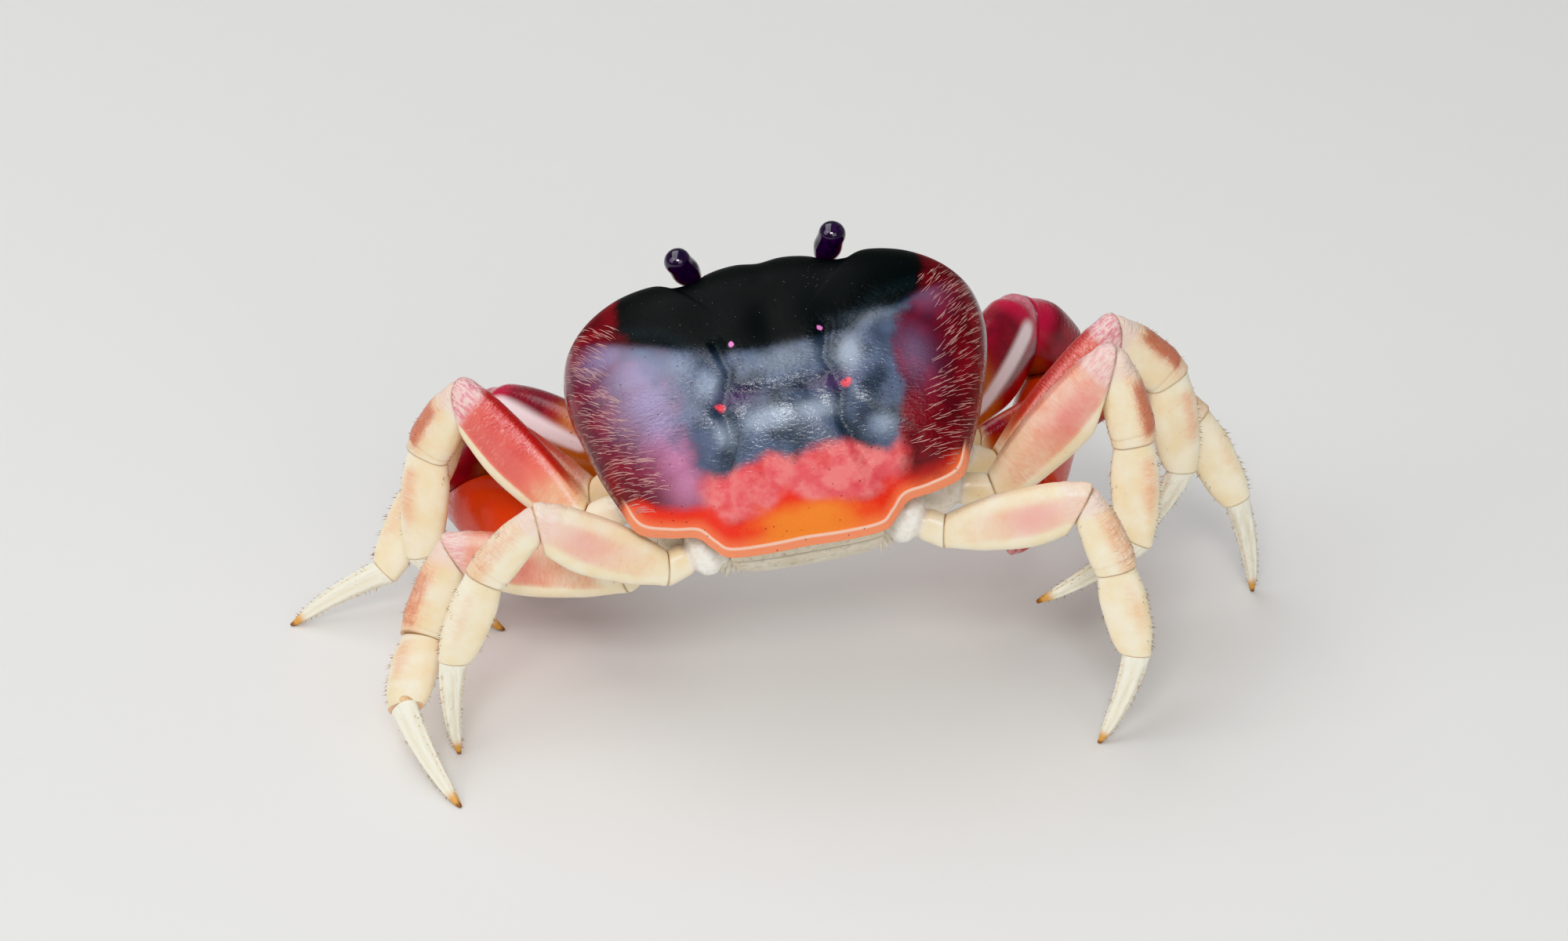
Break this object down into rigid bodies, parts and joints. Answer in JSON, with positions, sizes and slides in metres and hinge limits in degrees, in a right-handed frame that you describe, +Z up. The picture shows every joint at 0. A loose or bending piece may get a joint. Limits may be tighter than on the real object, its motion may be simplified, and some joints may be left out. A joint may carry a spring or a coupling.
{
  "type": "blackback land crab model",
  "caption": "Still life-size model of a blackback land crab (Hartnollius lateralis) standing on its walking legs, with domed shell, great claws, eyes and folded tail.",
  "frame": {"origin": "on the floor, under the middle of the whole model's box", "axes": "+Z up, +Y the way the crab faces, with the body turned a little off it, +X to the crab's right"},
  "size_m": [0.1236, 0.0694, 0.0581],
  "materials": {
    "shell": "glossy, near black to the front, deep red sides, orange-red rear",
    "underside": "smooth, cream to grey",
    "eye": "glossy, dark purple",
    "leg_upper": "satin, cream washed with coral pink",
    "leg_lower": "satin, cream, paler to the tips",
    "claw": "semi-gloss, crimson to orange-brown",
    "feeler": "satin, red-brown"
  },
  "bodies": {
    "root": {"carapace": "shell", "thorax": "underside", "abdomen": "underside", "eye_left": "eye", "antenna_left": "feeler", "maxilliped_left": "underside", "cheliped_left_coxa": "claw", "cheliped_left_merus": "claw", "cheliped_left_carpus": "claw", "cheliped_left_palm": "claw", "cheliped_left_finger": "claw", "leg_2_left_coxa": "leg_upper", "leg_2_left_merus": "leg_upper", "leg_2_left_carpus": "leg_upper", "leg_2_left_propodus": "leg_lower", "leg_2_left_dactyl": "leg_lower", "leg_3_left_coxa": "leg_upper", "leg_3_left_merus": "leg_upper", "leg_3_left_carpus": "leg_upper", "leg_3_left_propodus": "leg_lower", "leg_3_left_dactyl": "leg_lower", "leg_4_left_coxa": "leg_upper", "leg_4_left_merus": "leg_upper", "leg_4_left_carpus": "leg_upper", "leg_4_left_propodus": "leg_lower", "leg_4_left_dactyl": "leg_lower", "leg_5_left_coxa": "leg_upper", "leg_5_left_merus": "leg_upper", "leg_5_left_carpus": "leg_upper", "leg_5_left_propodus": "leg_lower", "leg_5_left_dactyl": "leg_lower", "eye_right": "eye", "antenna_right": "feeler", "maxilliped_right": "underside", "cheliped_right_coxa": "claw", "cheliped_right_merus": "claw", "cheliped_right_carpus": "claw", "cheliped_right_palm": "claw", "cheliped_right_finger": "claw", "leg_2_right_coxa": "leg_upper", "leg_2_right_merus": "leg_upper", "leg_2_right_carpus": "leg_upper", "leg_2_right_propodus": "leg_lower", "leg_2_right_dactyl": "leg_lower", "leg_3_right_coxa": "leg_upper", "leg_3_right_merus": "leg_upper", "leg_3_right_carpus": "leg_upper", "leg_3_right_propodus": "leg_lower", "leg_3_right_dactyl": "leg_lower", "leg_4_right_coxa": "leg_upper", "leg_4_right_merus": "leg_upper", "leg_4_right_carpus": "leg_upper", "leg_4_right_propodus": "leg_lower", "leg_4_right_dactyl": "leg_lower", "leg_5_right_coxa": "leg_upper", "leg_5_right_merus": "leg_upper", "leg_5_right_carpus": "leg_upper", "leg_5_right_propodus": "leg_lower", "leg_5_right_dactyl": "leg_lower"}
  },
  "joints": []
}
